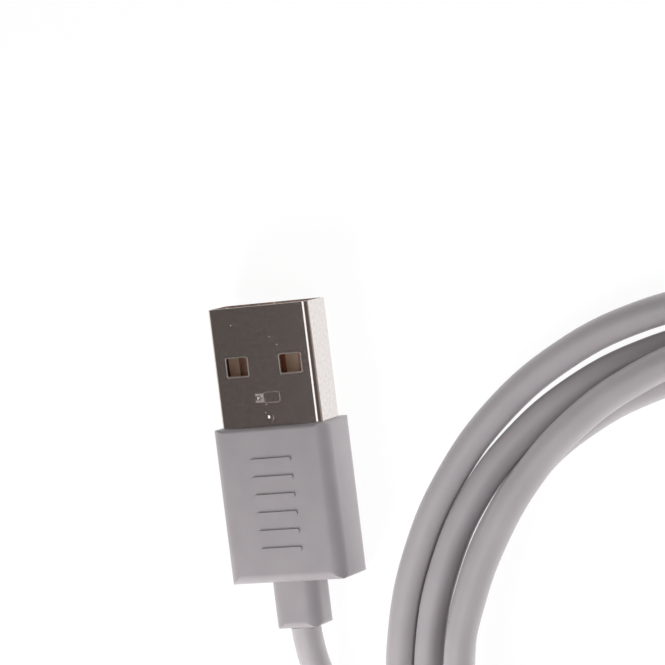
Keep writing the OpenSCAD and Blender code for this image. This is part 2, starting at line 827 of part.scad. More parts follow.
plug_shell();
insulator();
contact_supply();
contact_data_minus();
contact_data_plus();
contact_ground();
inner_mould();
rear_shield();
grip();
jacket_end();
braid();
wire_red();
wire_white();
wire_green();
wire_black();
cord_lead();
cord_coil();
cord_tail();
far_shell();
far_housing();
far_contacts_upper();
far_contacts_lower();
far_latch_spring();
far_board();
far_resistor();
far_inner_mould();
far_shield();
far_grip();
far_jacket_end();
far_wire_red();
far_wire_white();
far_wire_green();
far_wire_black();
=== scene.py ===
# %% [markdown]
# A charging cable with a flat plug, dressed in Blender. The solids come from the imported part, at
# their real size and place, and this script gives them their surfaces. It also lays the cord along
# its real route, and sets up the floor, the light and the camera of a plain product picture.

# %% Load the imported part
import math

import bmesh
import bpy
import numpy as np
from mathutils import Matrix, Vector


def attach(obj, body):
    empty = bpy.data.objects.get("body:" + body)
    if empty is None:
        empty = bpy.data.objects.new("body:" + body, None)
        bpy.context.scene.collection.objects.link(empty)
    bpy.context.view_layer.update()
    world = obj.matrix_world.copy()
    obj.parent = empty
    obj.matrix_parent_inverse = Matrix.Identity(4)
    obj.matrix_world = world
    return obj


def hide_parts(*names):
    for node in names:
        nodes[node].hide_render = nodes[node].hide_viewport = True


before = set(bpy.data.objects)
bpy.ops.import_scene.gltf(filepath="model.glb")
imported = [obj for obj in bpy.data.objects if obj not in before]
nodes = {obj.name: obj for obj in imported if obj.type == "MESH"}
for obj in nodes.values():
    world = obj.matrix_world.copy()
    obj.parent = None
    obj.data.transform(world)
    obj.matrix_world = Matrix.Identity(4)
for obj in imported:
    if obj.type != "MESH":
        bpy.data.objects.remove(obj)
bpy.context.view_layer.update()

# %% [markdown]
# Blender works in metres, but the sizes of a cable are easiest to read in millimetres. So every size
# below is written as a number of millimetres, and it is turned into metres where Blender gets it.

# %% Units
MM = 0.001


def millimetres(*numbers):
    """A point given in millimetres, as a vector in metres."""
    return Vector(numbers) * MM


print("one millimetre is", MM, "of Blender's units")

# %% [markdown]
# The picture looks down on the cable through a long lens, with the camera rolled over by more than a
# right angle. Four numbers place such a camera: the way round the object, the height above the
# horizon, the roll and the distance. The lens follows from how large a millimetre shows in a
# picture of 665 pixels. A camera could be turned by hand until it looks right, but with the four
# numbers written down by name the view is easy to check and to change.

# %% Camera
PICTURE_WIDTH = 665
FOCAL_PIXELS = 3400
SENSOR_WIDTH = 36.0
VIEW_AZIMUTH = 98.45
VIEW_ELEVATION = 63.48
VIEW_ROLL = -104.61
VIEW_DISTANCE = 355.9 * MM
VIEW_TARGET = millimetres(7.2, 13.5, 3.0)
NEAREST_SEEN = 10 * MM
FARTHEST_SEEN = 20000 * MM


def camera_turn(azimuth, elevation, roll):
    """The camera's own right, up and back directions, as the columns of a matrix."""
    a, e, r = (math.radians(x) for x in (azimuth, elevation, roll))
    back = Vector((math.cos(e) * math.sin(a), -math.cos(e) * math.cos(a), math.sin(e)))
    level = Vector((math.cos(a), math.sin(a), 0))
    upward = back.cross(level)
    right = level * math.cos(r) + upward * math.sin(r)
    up = upward * math.cos(r) - level * math.sin(r)
    return Matrix((right, up, back)).transposed()


camera_data = bpy.data.cameras.new("picture_camera")
camera_data.sensor_width = SENSOR_WIDTH
camera_data.lens = FOCAL_PIXELS / PICTURE_WIDTH * SENSOR_WIDTH
camera_data.clip_start, camera_data.clip_end = NEAREST_SEEN, FARTHEST_SEEN
camera = bpy.data.objects.new("picture_camera", camera_data)
bpy.context.collection.objects.link(camera)
turn = camera_turn(VIEW_AZIMUTH, VIEW_ELEVATION, VIEW_ROLL)
camera.matrix_world = Matrix.Translation(VIEW_TARGET + turn.col[2] * VIEW_DISTANCE) @ turn.to_4x4()
bpy.context.scene.camera = camera
print("lens in mm:", round(camera_data.lens, 1), "camera at", [round(x, 3) for x in camera.location])

# %% [markdown]
# The cord is one round cable of fixed length. It leaves the neck level, sinks to the table and runs
# into a loose coil: three turns side by side on the table, and a fourth on top of the inner two. Then
# it drops into the middle of the coil, where the small plug lies. The coil isn't a circle. It is round
# where the picture shows it and turns two tighter corners where it doesn't, as a cord of this length
# lies when it has been pushed together by hand. So one turn is a straight side, a corner, a large
# arc and another corner, and a point on it is found from the share of the turn that lies behind it.

# %% Plan of one turn of the coil
CORD_DIAMETER = 3.2
COIL_CENTRE = np.array([51.2, -28.8])
COIL_R = 42.0
CORNER_R = 32.0
ARC_FROM = 95.0
ARC_TO = 178.0


def direction(degrees):
    """One step in plan, of length one, at that angle."""
    return np.array([math.cos(math.radians(degrees)), math.sin(math.radians(degrees))])


corner_b = COIL_CENTRE + (COIL_R - CORNER_R) * direction(ARC_FROM)
corner_a = COIL_CENTRE + (COIL_R - CORNER_R) * direction(ARC_TO)
side = corner_b - corner_a
side_middle = (corner_a + corner_b) / 2
SIDE_ANGLE = math.degrees(math.atan2(side[1], side[0])) - 90
SIDE_LENGTH = float(np.hypot(*side))
STRETCHES = [
    SIDE_LENGTH / 2,
    CORNER_R * math.radians(ARC_FROM - SIDE_ANGLE),
    COIL_R * math.radians(ARC_TO - ARC_FROM),
    CORNER_R * math.radians(SIDE_ANGLE + 360 - ARC_TO),
    SIDE_LENGTH / 2,
]
TURN_LENGTH = sum(STRETCHES)
FIRST, LAST = 0, len(STRETCHES) - 1
print("one turn is", round(TURN_LENGTH), "mm long, its straight side", round(SIDE_LENGTH, 1), "mm")

# %% [markdown]
# A cord that lies beside another keeps the same shape, moved in by the cord's own thickness. So the
# inner turns need no plan of their own: a point on them is the point of the outermost turn, drawn in
# by an inset. The function below walks along the five stretches until it has gone far enough.

# %% A point on the turn
def on_turn(share, inset):
    """The point in plan at that share of the outermost turn, moved in from it by the inset."""
    left = share % 1 * TURN_LENGTH
    stretch = FIRST
    while left > STRETCHES[stretch] and stretch < LAST:
        left -= STRETCHES[stretch]
        stretch += 1
    done = left / STRETCHES[stretch]
    if stretch == FIRST:
        return side_middle + (corner_b - side_middle) * done + (CORNER_R - inset) * direction(SIDE_ANGLE)
    if stretch == LAST:
        return corner_a + (side_middle - corner_a) * done + (CORNER_R - inset) * direction(SIDE_ANGLE)
    centre, radius, begin, end = [
        (corner_b, CORNER_R, SIDE_ANGLE, ARC_FROM),
        (COIL_CENTRE, COIL_R, ARC_FROM, ARC_TO),
        (corner_a, CORNER_R, ARC_TO, SIDE_ANGLE + 360),
    ][stretch - 1]
    return centre + (radius - inset) * direction(begin + (end - begin) * done)


print("half way round the coil, in mm:", [round(float(x), 1) for x in on_turn(0.5, 0)])

# %% [markdown]
# The route is written as three short lists: the lead out of the plug, the turns, and the tail to the
# far plug. A turn's entry says how far round the cord has come, how far it lies in from the outermost
# turn, and how high its middle is. Each turn moves in by one cord in the corner that the picture
# doesn't show, and there the last one also climbs onto the others.

# %% Route of the cord
LEAD_ROUTE = [
    (0, -17.2, 3.35), (0.2, -20, 3.2), (0.6, -23, 2.6), (1.8, -28, 1.9), (3.6, -33, 1.6),
    (7, -40, 1.6), (12, -47.5, 1.6), (18, -53, 1.6), (25.5, -57.5, 1.6),
]
TURNS = [
    (-0.14, 0, 1.6), (0.34, 0, 1.6), (0.39, -0.25, 1.6), (0.46, -0.25, 1.6), (0.53, -0.12, 1.6),
    (0.61, 0, 1.6), (0.68, 0.5, 1.6), (0.75, 2.2, 1.6), (0.80, 3.2, 1.6), (0.9, 3.3, 1.6),
    (1.3, 3.55, 1.6), (1.42, 3.5, 1.6), (1.47, 3.35, 1.6), (1.51, 3.15, 1.6), (1.61, 3.25, 1.6),
    (1.68, 3.7, 1.6), (1.75, 5.2, 1.6), (1.82, 6.45, 1.6), (2.0, 6.6, 1.6), (2.3, 6.8, 1.6),
    (2.42, 6.75, 1.6), (2.48, 6.45, 1.6), (2.55, 6.6, 1.6), (2.61, 6.7, 1.6), (2.70, 8.2, 1.6),
    (2.78, 9.3, 2.0), (2.87, 9.2, 3.5), (2.94, 8.0, 4.8), (3.0, 6.6, 5.0), (3.08, 5.1, 4.45),
    (3.3, 4.7, 4.42), (3.37, 4.75, 4.42), (3.42, 5.9, 4.7), (3.46, 6.8, 4.82), (3.50, 7.5, 4.75),
    (3.54, 8.0, 4.65), (3.60, 7.9, 4.65),
]
TAIL_ROUTE = [
    (18.0, -28.4, 4.6), (20.0, -32.8, 4.1), (23.8, -36.2, 3.4), (28.6, -37.8, 2.9), (34, -37, 2.8),
]
POINTS_PER_TURN = 26


def coil_points():
    """The turns' points in millimetres, evenly spaced, between the entries of TURNS."""
    shares, insets, heights = (np.array(column) for column in zip(*TURNS))
    count = round((shares[-1] - shares[0]) * POINTS_PER_TURN)
    return [
        (*on_turn(s, np.interp(s, shares, insets)), np.interp(s, shares, heights))
        for s in np.linspace(shares[0], shares[-1], count + 1)
    ]


route = [millimetres(*p) for p in LEAD_ROUTE + coil_points() + TAIL_ROUTE]
print("points on the route:", len(route))

# %% [markdown]
# A cable follows a line, so it is made from one. A curve object with a bevel would do, but Geometry
# Nodes can also keep values on the points that they make, and they can be read again by name. A tree
# could be put together by hand in the editor. Built here it stays in one file with its sizes, and
# these helpers keep that short: they make a tree with named inputs, add and join nodes, and end it.

# %% Helpers that build a tree
def link(tree, source, target):
    """Joins an output to an input."""
    tree.links.new(source, target)


def add_node(tree, kind, values=None, **settings):
    """A new node, with the settings and the socket values given."""
    node = tree.nodes.new(kind)
    for key, value in settings.items():
        setattr(node, key, value)
    for key, value in (values or {}).items():
        node.inputs[key].default_value = value
    return node


def new_tree(name, inputs):
    """A Geometry Nodes tree with a geometry in and out, and one named input for each pair given."""
    tree = bpy.data.node_groups.new(name, "GeometryNodeTree")
    tree.interface.new_socket("Geometry", in_out="INPUT", socket_type="NodeSocketGeometry")
    for label, kind in inputs:
        tree.interface.new_socket(label, in_out="INPUT", socket_type=kind)
    tree.interface.new_socket("Geometry", in_out="OUTPUT", socket_type="NodeSocketGeometry")
    return tree, tree.nodes.new("NodeGroupInput"), tree.nodes.new("NodeGroupOutput")


def store(tree, geometry, name, kind, value):
    """Keeps a value on every point of the geometry, under a name that a material can read."""
    keep = add_node(
        tree, "GeometryNodeStoreNamedAttribute", {"Name": name}, data_type=kind, domain="POINT",
    )
    link(tree, geometry, keep.inputs["Geometry"])
    link(tree, value, keep.inputs["Value"])
    return keep.outputs["Geometry"]


def end_tree(tree, geometry, group_in, group_out):
    """Smooth shading, Realize Instances and Set Material, which every tree here ends in."""
    smooth = tree.nodes.new("GeometryNodeSetShadeSmooth")
    real = tree.nodes.new("GeometryNodeRealizeInstances")
    paint = tree.nodes.new("GeometryNodeSetMaterial")
    link(tree, geometry, smooth.inputs["Geometry"])
    link(tree, smooth.outputs["Geometry"], real.inputs["Geometry"])
    link(tree, real.outputs["Geometry"], paint.inputs["Geometry"])
    link(tree, group_in.outputs["Material"], paint.inputs["Material"])
    link(tree, paint.outputs["Geometry"], group_out.inputs["Geometry"])
    print(tree.name, "has", len(tree.nodes), "nodes")


# %% [markdown]
# A tree does its work as a modifier on an object. Here the result is wanted as a plain mesh that
# anyone can open, so the modifier is given its inputs, its result is copied into a new mesh, and the
# object that carried it is deleted again.

# %% Helper that runs a tree
def run_tree(carrier, tree, name, **inputs):
    """Runs the tree on an object and returns a plain mesh object; the carrier is deleted."""
    modifier = carrier.modifiers.new(name, "NODES")
    modifier.node_group = tree
    for item in tree.interface.items_tree:
        key = item.name.lower().replace(" ", "_")
        if item.in_out == "INPUT" and key in inputs:
            modifier[item.identifier] = inputs[key]
    evaluated = carrier.evaluated_get(bpy.context.evaluated_depsgraph_get())
    mesh = bpy.data.meshes.new_from_object(evaluated)
    carrier.modifiers.clear()
    bpy.data.objects.remove(carrier)
    mesh.name = name
    piece = bpy.data.objects.new(name, mesh)
    bpy.context.collection.objects.link(piece)
    print(name, "has", len(mesh.polygons), "faces")
    return piece


# %% [markdown]
# The tree of the cord cuts the line into even lengths, sweeps a ring along it and closes both ends.
# Two attributes go with the mesh: the place on the ring, and the length so far. A material can read
# them as if the cord had been pulled straight, so its pattern follows the cable round every bend.

# %% Tree that sweeps the cord
def cord_tree():
    tree, group_in, group_out = new_tree("cord_sweep", [
        ("Diameter", "NodeSocketFloat"), ("Sides", "NodeSocketInt"),
        ("Ring spacing", "NodeSocketFloat"), ("Material", "NodeSocketMaterial"),
    ])
    even = add_node(tree, "GeometryNodeResampleCurve", mode="LENGTH")
    link(tree, group_in.outputs["Geometry"], even.inputs["Curve"])
    link(tree, group_in.outputs["Ring spacing"], even.inputs["Length"])
    progress = tree.nodes.new("GeometryNodeSplineParameter")
    line = store(tree, even.outputs["Curve"], "along", "FLOAT", progress.outputs["Length"])

    half = add_node(tree, "ShaderNodeMath", {1: 0.5}, operation="MULTIPLY")
    link(tree, group_in.outputs["Diameter"], half.inputs[0])
    circle = tree.nodes.new("GeometryNodeCurvePrimitiveCircle")
    link(tree, group_in.outputs["Sides"], circle.inputs["Resolution"])
    link(tree, half.outputs["Value"], circle.inputs["Radius"])
    place = tree.nodes.new("GeometryNodeInputPosition")
    ring = store(tree, circle.outputs["Curve"], "ring", "FLOAT_VECTOR", place.outputs["Position"])

    sweep = add_node(tree, "GeometryNodeCurveToMesh", {"Fill Caps": True})
    link(tree, line, sweep.inputs["Curve"])
    link(tree, ring, sweep.inputs["Profile Curve"])
    end_tree(tree, sweep.outputs["Mesh"], group_in, group_out)
    return tree


cord_sweep = cord_tree()

# %% [markdown]
# The line itself is a Bezier spline through the route's points. Its automatic handles give a smooth
# bend at every one, as a cord that springs a little has. The mesh of the cord has a ring of corners
# at every step, and the middle of each ring gives the line back, so the length can be measured.

# %% Lay the cord
CORD_SIDES = 28
RING_SPACING = 1.4
CURVE_STEPS = 16


def route_curve(points):
    """A curve object with one open Bezier spline through the points."""
    data = bpy.data.curves.new("cord_route", "CURVE")
    data.dimensions = "3D"
    data.resolution_u = CURVE_STEPS
    spline = data.splines.new("BEZIER")
    spline.bezier_points.add(len(points) - 1)
    for knot, point in zip(spline.bezier_points, points):
        knot.co = point
        knot.handle_left_type = knot.handle_right_type = "AUTO"
    curve = bpy.data.objects.new("cord_route", data)
    bpy.context.collection.objects.link(curve)
    return curve


cord = run_tree(
    route_curve(route), cord_sweep, "cord",
    diameter=CORD_DIAMETER * MM, sides=CORD_SIDES, ring_spacing=RING_SPACING * MM,
    material=bpy.data.materials.new("cord_jacket"),
)
ring_corners = np.array([v.co for v in cord.data.vertices]).reshape(-1, CORD_SIDES, 3)
centreline = ring_corners.mean(axis=1)
measured = float(np.linalg.norm(np.diff(centreline, axis=0), axis=1).sum())
print("length of the cord in metres:", round(measured, 4))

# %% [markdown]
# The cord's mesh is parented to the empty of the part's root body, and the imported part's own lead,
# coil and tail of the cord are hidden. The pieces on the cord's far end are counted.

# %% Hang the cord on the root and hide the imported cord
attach(cord, "root")
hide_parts("cord_lead", "cord_coil", "cord_tail")
print("pieces on the cord's far end:", sum(name.startswith("far_") for name in nodes))

# %% [markdown]
# The punch leaves a low rounded rim round each window of the shell and round the pressed lance, and
# it shows as a thin bright line. A bevel on the shell can't make it, because a solid from the packed
# part is never changed, so the rims are thin pieces of their own. One tree makes them all: a
# rectangle with rounded corners is swept with a ring, pressed flat, and set down once on every
# point of a small carrier mesh.

# %% Tree that makes the rims
RIM_SIDES = 10
CORNER_STEPS = 5


def rim_tree():
    tree, group_in, group_out = new_tree("rim_sweep", [
        ("Width", "NodeSocketFloat"), ("Length", "NodeSocketFloat"), ("Corner", "NodeSocketFloat"),
        ("Half thickness", "NodeSocketFloat"), ("Flatness", "NodeSocketFloat"),
        ("Material", "NodeSocketMaterial"),
    ])
    outline = add_node(tree, "GeometryNodeCurvePrimitiveQuadrilateral", mode="RECTANGLE")
    link(tree, group_in.outputs["Width"], outline.inputs["Width"])
    link(tree, group_in.outputs["Length"], outline.inputs["Height"])
    rounded = add_node(tree, "GeometryNodeFilletCurve", {"Count": CORNER_STEPS}, mode="POLY")
    link(tree, outline.outputs["Curve"], rounded.inputs["Curve"])
    link(tree, group_in.outputs["Corner"], rounded.inputs["Radius"])
    circle = add_node(tree, "GeometryNodeCurvePrimitiveCircle", {"Resolution": RIM_SIDES})
    link(tree, group_in.outputs["Half thickness"], circle.inputs["Radius"])
    sweep = tree.nodes.new("GeometryNodeCurveToMesh")
    link(tree, rounded.outputs["Curve"], sweep.inputs["Curve"])
    link(tree, circle.outputs["Curve"], sweep.inputs["Profile Curve"])

    scale = add_node(tree, "ShaderNodeCombineXYZ", {"X": 1.0, "Y": 1.0})
    link(tree, group_in.outputs["Flatness"], scale.inputs["Z"])
    flat = tree.nodes.new("GeometryNodeTransform")
    link(tree, sweep.outputs["Mesh"], flat.inputs["Geometry"])
    link(tree, scale.outputs["Vector"], flat.inputs["Scale"])
    points = tree.nodes.new("GeometryNodeMeshToPoints")
    link(tree, group_in.outputs["Geometry"], points.inputs["Mesh"])
    copies = tree.nodes.new("GeometryNodeInstanceOnPoints")
    link(tree, points.outputs["Points"], copies.inputs["Points"])
    link(tree, flat.outputs["Geometry"], copies.inputs["Instance"])
    end_tree(tree, copies.outputs["Instances"], group_in, group_out)
    return tree


rim_sweep = rim_tree()

# %% [markdown]
# The windows sit in pairs, above and below, so their rims are one piece with four rings, and the
# lance has a smaller ring. The carrier of each is a mesh with nothing but the rings' middle points.
# Modelling every ring by hand would do for one, but here a change of size reaches all of them.

# %% Rims on the plug's shell
SHELL_TOP, SHELL_UNDER = 5.6, 1.1
WINDOW_X, WINDOW_Y = 3.15, 10.93
WINDOW_RIM = (2.58, 2.08, 0.22)
WINDOW_RIM_THICKNESS = 0.16
LANCE_AT = (0.5, 7.5, SHELL_TOP)
LANCE_RIM = (1.88, 1.14, 0.3)
LANCE_RIM_THICKNESS = 0.1
RIM_FLATNESS = 0.35
rim_material = bpy.data.materials.new("rim_metal")


def add_rims(name, centres, size, thickness):
    """Rims of one size, width, length and corner, round every one of the centres."""
    mesh = bpy.data.meshes.new(name)
    mesh.from_pydata([millimetres(*c) for c in centres], [], [])
    carrier = bpy.data.objects.new(name, mesh)
    bpy.context.collection.objects.link(carrier)
    width, length, corner = (x * MM for x in size)
    rims = run_tree(
        carrier, rim_sweep, name, width=width, length=length, corner=corner,
        half_thickness=thickness / 2 * MM, flatness=RIM_FLATNESS, material=rim_material,
    )
    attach(rims, "root")


window_centres = [(x, WINDOW_Y, z) for x in (-WINDOW_X, WINDOW_X) for z in (SHELL_TOP, SHELL_UNDER)]
add_rims("window_rims", window_centres, WINDOW_RIM, WINDOW_RIM_THICKNESS)
add_rims("lance_rim", [LANCE_AT], LANCE_RIM, LANCE_RIM_THICKNESS)

# %% [markdown]
# Where the lance was torn free, at its tip, a small burr stands up and catches the light. It is a
# ball squashed to a low dome, sunk half into the metal. A dot of paler colour would be less work,
# but only a raised shape gives a glint that moves as the plug turns.

# %% Burr at the tip of the lance
BURR_AT = (-1.27, 7.5, 5.58)
BURR_HALF = (0.24, 0.24, 0.05)
BURR_SEGMENTS, BURR_RINGS = 20, 14
burr_mesh = bpy.data.meshes.new("lance_burr")
dome = bmesh.new()
bmesh.ops.create_uvsphere(dome, u_segments=BURR_SEGMENTS, v_segments=BURR_RINGS, radius=1.0)
bmesh.ops.scale(dome, vec=millimetres(*BURR_HALF), verts=dome.verts)
bmesh.ops.translate(dome, vec=millimetres(*BURR_AT), verts=dome.verts)
dome.to_mesh(burr_mesh)
dome.free()
burr_mesh.shade_smooth()
burr_mesh.materials.append(bpy.data.materials.new("plug_sheet_metal"))
burr = bpy.data.objects.new("lance_burr", burr_mesh)
bpy.context.collection.objects.link(burr)
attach(burr, "root")
print("lance_burr has", len(burr_mesh.polygons), "faces")

# %% [markdown]
# A world or a material can answer differently to different rays. One that comes straight from the
# camera or by way of a mirror decides what is seen, and all others only carry light. The first helper
# tells the two kinds apart, and the second blends two colours, as most of the finishes below do.

# %% Helpers for materials
def seen_directly(tree):
    """1 for a ray from the camera, a reflection or a transmission, and 0 for any other."""
    path = tree.nodes.new("ShaderNodeLightPath")
    first = add_node(tree, "ShaderNodeMath", operation="MAXIMUM")
    second = add_node(tree, "ShaderNodeMath", operation="MAXIMUM")
    link(tree, path.outputs["Is Camera Ray"], first.inputs[0])
    link(tree, path.outputs["Is Glossy Ray"], first.inputs[1])
    link(tree, first.outputs["Value"], second.inputs[0])
    link(tree, path.outputs["Is Transmission Ray"], second.inputs[1])
    return second.outputs["Value"]


def add_ramp(tree, factor, low, low_colour, high, high_colour):
    """A colour ramp from one colour at the low position to another at the high one."""
    node = tree.nodes.new("ShaderNodeValToRGB")
    link(tree, factor, node.inputs["Fac"])
    stops = (low, low_colour), (high, high_colour)
    for element, (position, colour) in zip(node.color_ramp.elements, stops):
        element.position = position
        element.color = (*colour, 1)
    return node.outputs["Color"]


# %% [markdown]
# A product picture has a white ground that shows no edge. The floor and the world are white to the
# camera. Bright metal needs something darker to mirror, so a reflected ray meets a warm grey room
# that is lighter near the horizon, and the pale floor under it. A wall of grey cards would do the
# same, but it would have to be kept out of every view. The world alone can be white, grey or a dim
# even light, as the ray that asks needs it.

# %% World
WHITE = (1, 1, 1, 1)
WORLD_LIGHT = 0.24
HORIZON = (0.56, 0.45, 0.39)
CEILING = (0.102, 0.087, 0.082)
CEILING_FROM = 0.5
world = bpy.data.worlds.new("studio")
world.use_nodes = True
bpy.context.scene.world = world
sky = world.node_tree
sky.nodes.clear()
where = sky.nodes.new("ShaderNodeTexCoord")
height = sky.nodes.new("ShaderNodeSeparateXYZ")
link(sky, where.outputs["Generated"], height.inputs["Vector"])
room = add_ramp(sky, height.outputs["Z"], 0.0, HORIZON, CEILING_FROM, CEILING)
lit = add_node(sky, "ShaderNodeMixRGB", {"Color1": (WORLD_LIGHT, WORLD_LIGHT, WORLD_LIGHT, 1)})
link(sky, seen_directly(sky), lit.inputs["Fac"])
link(sky, room, lit.inputs["Color2"])
shown = add_node(sky, "ShaderNodeMixRGB", {"Color2": WHITE})
rays = sky.nodes.new("ShaderNodeLightPath")
link(sky, rays.outputs["Is Camera Ray"], shown.inputs["Fac"])
link(sky, lit.outputs["Color"], shown.inputs["Color1"])
light = sky.nodes.new("ShaderNodeBackground")
link(sky, shown.outputs["Color"], light.inputs["Color"])
sky_end = sky.nodes.new("ShaderNodeOutputWorld")
link(sky, light.outputs["Background"], sky_end.inputs["Surface"])
print("world light:", WORLD_LIGHT)

# %% [markdown]
# The floor mixes two things: a matt white that takes the cable's shadow, and a glow that lifts it to
# the white of the ground. What a ray from the camera or a reflection gets is set apart from what the
# floor gives as light. As light it glows more, as a lit white table does, and that fills the sides
# of the plug and the under half of the cord, where the lamps don't reach.

# %% Floor
FLOOR_HALF = 3.0
FLOOR_SHADE = 0.85
GLOW_SEEN, GLOW_AS_LIGHT = 1.06, 2.4
SHARE_SEEN, SHARE_AS_LIGHT = 0.86, 0.8
floor_mesh = bpy.data.meshes.new("floor")
floor_corners = [(x * FLOOR_HALF, y * FLOOR_HALF, 0) for x, y in [(-1, -1), (1, -1), (1, 1), (-1, 1)]]
floor_mesh.from_pydata(floor_corners, [], [(0, 1, 2, 3)])
floor = bpy.data.objects.new("floor", floor_mesh)
bpy.context.collection.objects.link(floor)
ground = bpy.data.materials.new("white_ground")
ground.use_nodes = True
tree = ground.node_tree
tree.nodes.clear()
matt = add_node(tree, "ShaderNodeBsdfDiffuse", {"Color": (FLOOR_SHADE, FLOOR_SHADE, FLOOR_SHADE, 1)})
glow = add_node(tree, "ShaderNodeEmission", {"Color": WHITE})
mix = tree.nodes.new("ShaderNodeMixShader")
direct = seen_directly(tree)
for seen, as_light, socket in (
    (GLOW_SEEN, GLOW_AS_LIGHT, glow.inputs["Strength"]),
    (SHARE_SEEN, SHARE_AS_LIGHT, mix.inputs["Fac"]),
):
    steps = {1: seen - as_light, 2: as_light}
    value = add_node(tree, "ShaderNodeMath", steps, operation="MULTIPLY_ADD")
    link(tree, direct, value.inputs[0])
    link(tree, value.outputs["Value"], socket)
link(tree, matt.outputs["BSDF"], mix.inputs[1])
link(tree, glow.outputs["Emission"], mix.inputs[2])
ground_end = tree.nodes.new("ShaderNodeOutputMaterial")
link(tree, mix.outputs["Shader"], ground_end.inputs["Surface"])
floor_mesh.materials.append(ground)
print("floor:", 2 * FLOOR_HALF, "m wide")

# %% [markdown]
# Four soft lamps light the cable. One hangs above the plug: its mirror image is the bright line along
# the shell's fold and the dots in the pressings. The key lamp stands close and low, to the left of
# the cable's near side. It brightens the left flank of every pass of the coil, and its light falls
# off toward the far side. The other two are wide and fill in what is left. Only the first is seen in
# reflections, because the others would show as hard squares in the bright metal.

# %% Lamps
LAMPS = {
    "top_lamp": dict(at=(-10, -20, 150), size=(70, 110), watts=0.03, aim=(-10, -20, 0), mirrored=True),
    "left_lamp": dict(at=(-150, 0, 140), size=(90, 120), watts=0.03, aim=(10, -10, 0), mirrored=False),
    "key_lamp": dict(at=(-45, -80, 62), size=(60, 60), watts=0.12, aim=(15, -30, 0), mirrored=False),
    "fill_lamp": dict(at=(200, -60, 140), size=(120, 120), watts=0.2, aim=(10, -10, 0), mirrored=False),
}


def soft_lamp(name, at, size, watts, aim, mirrored):
    """A rectangle of light at a place, turned to what it aims at, all in millimetres."""
    data = bpy.data.lights.new(name, "AREA")
    data.shape = "RECTANGLE"
    data.size, data.size_y = (x * MM for x in size)
    data.energy = watts
    lamp = bpy.data.objects.new(name, data)
    lamp.location = millimetres(*at)
    lamp.rotation_euler = (millimetres(*aim) - lamp.location).to_track_quat("-Z", "Y").to_euler()
    lamp.visible_glossy = mirrored
    bpy.context.collection.objects.link(lamp)


for lamp_name, settings in LAMPS.items():
    soft_lamp(lamp_name, **settings)

# %% [markdown]
# Every finish below starts from one shader and reads the object's own coordinates, in metres. No
# picture is wrapped round anything: noise and waves make the small changes of colour, gloss and
# height that tell one material from another, and they stay sharp however near the camera comes.
# These helpers each do one such job.

# %% Helpers for finishes
NOISE_LOW, NOISE_HIGH = 0.3, 0.7


def new_finish(name, colour, roughness, metallic=0.0):
    """A material with one shader, plain until its sockets are driven."""
    material = bpy.data.materials.get(name) or bpy.data.materials.new(name)
    material.use_nodes = True
    tree = material.node_tree
    shader = tree.nodes["Principled BSDF"]
    shader.inputs["Base Color"].default_value = (*colour, 1)
    shader.inputs["Roughness"].default_value = roughness
    shader.inputs["Metallic"].default_value = metallic
    return material, tree, shader


def object_place(tree):
    """The object's own coordinates."""
    return tree.nodes.new("ShaderNodeTexCoord").outputs["Object"]


def add_noise(tree, place, size, detail=3.0, roughness=0.5):
    """Noise whose features are about the given size in millimetres."""
    values = {"Scale": 1 / (size * MM), "Detail": detail, "Roughness": roughness}
    node = add_node(tree, "ShaderNodeTexNoise", values)
    link(tree, place, node.inputs["Vector"])
    return node.outputs["Fac"]


def vary_colour(tree, shader, factor, dark, light, low=NOISE_LOW, high=NOISE_HIGH):
    """Drives the base colour from dark to light."""
    link(tree, add_ramp(tree, factor, low, dark, high, light), shader.inputs["Base Color"])


def vary_roughness(tree, shader, factor, smooth, rough):
    """Drives the roughness from smooth to rough."""
    values = {"From Min": NOISE_LOW, "From Max": NOISE_HIGH, "To Min": smooth, "To Max": rough}
    node = add_node(tree, "ShaderNodeMapRange", values)
    link(tree, factor, node.inputs["Value"])
    link(tree, node.outputs["Result"], shader.inputs["Roughness"])


def add_bump(tree, shader, factor, depth):
    """Relief of the given depth in millimetres."""
    node = add_node(tree, "ShaderNodeBump", {"Strength": 1.0, "Distance": depth * MM})
    link(tree, factor, node.inputs["Height"])
    link(tree, node.outputs["Normal"], shader.inputs["Normal"])


# %% [markdown]
# Moulded plastic is never quite one colour. It has a faint cloudiness, and a grain left by the tool,
# which shows as tiny bumps and as changes in gloss. One function makes it, and the grip, the
# insulator, the inner mould, the far housing, the board and its resistor differ only in their numbers.

# %% Finishes of the moulded pieces
CLOUD_SIZE = 3.0
PLASTIC_RELIEF = 0.004
PLASTIC_SMOOTHER, PLASTIC_ROUGHER = 0.05, 0.08


def moulded(name, dark, light, roughness, grain=0.12):
    """Plastic between two colours, with a grain of the given size in millimetres."""
    material, tree, shader = new_finish(name, light, roughness)
    place = object_place(tree)
    cloud = add_noise(tree, place, CLOUD_SIZE, detail=4.0)
    fine = add_noise(tree, place, grain, detail=2.0)
    vary_colour(tree, shader, cloud, dark, light)
    vary_roughness(tree, shader, fine, roughness - PLASTIC_SMOOTHER, roughness + PLASTIC_ROUGHER)
    add_bump(tree, shader, fine, PLASTIC_RELIEF)
    return material


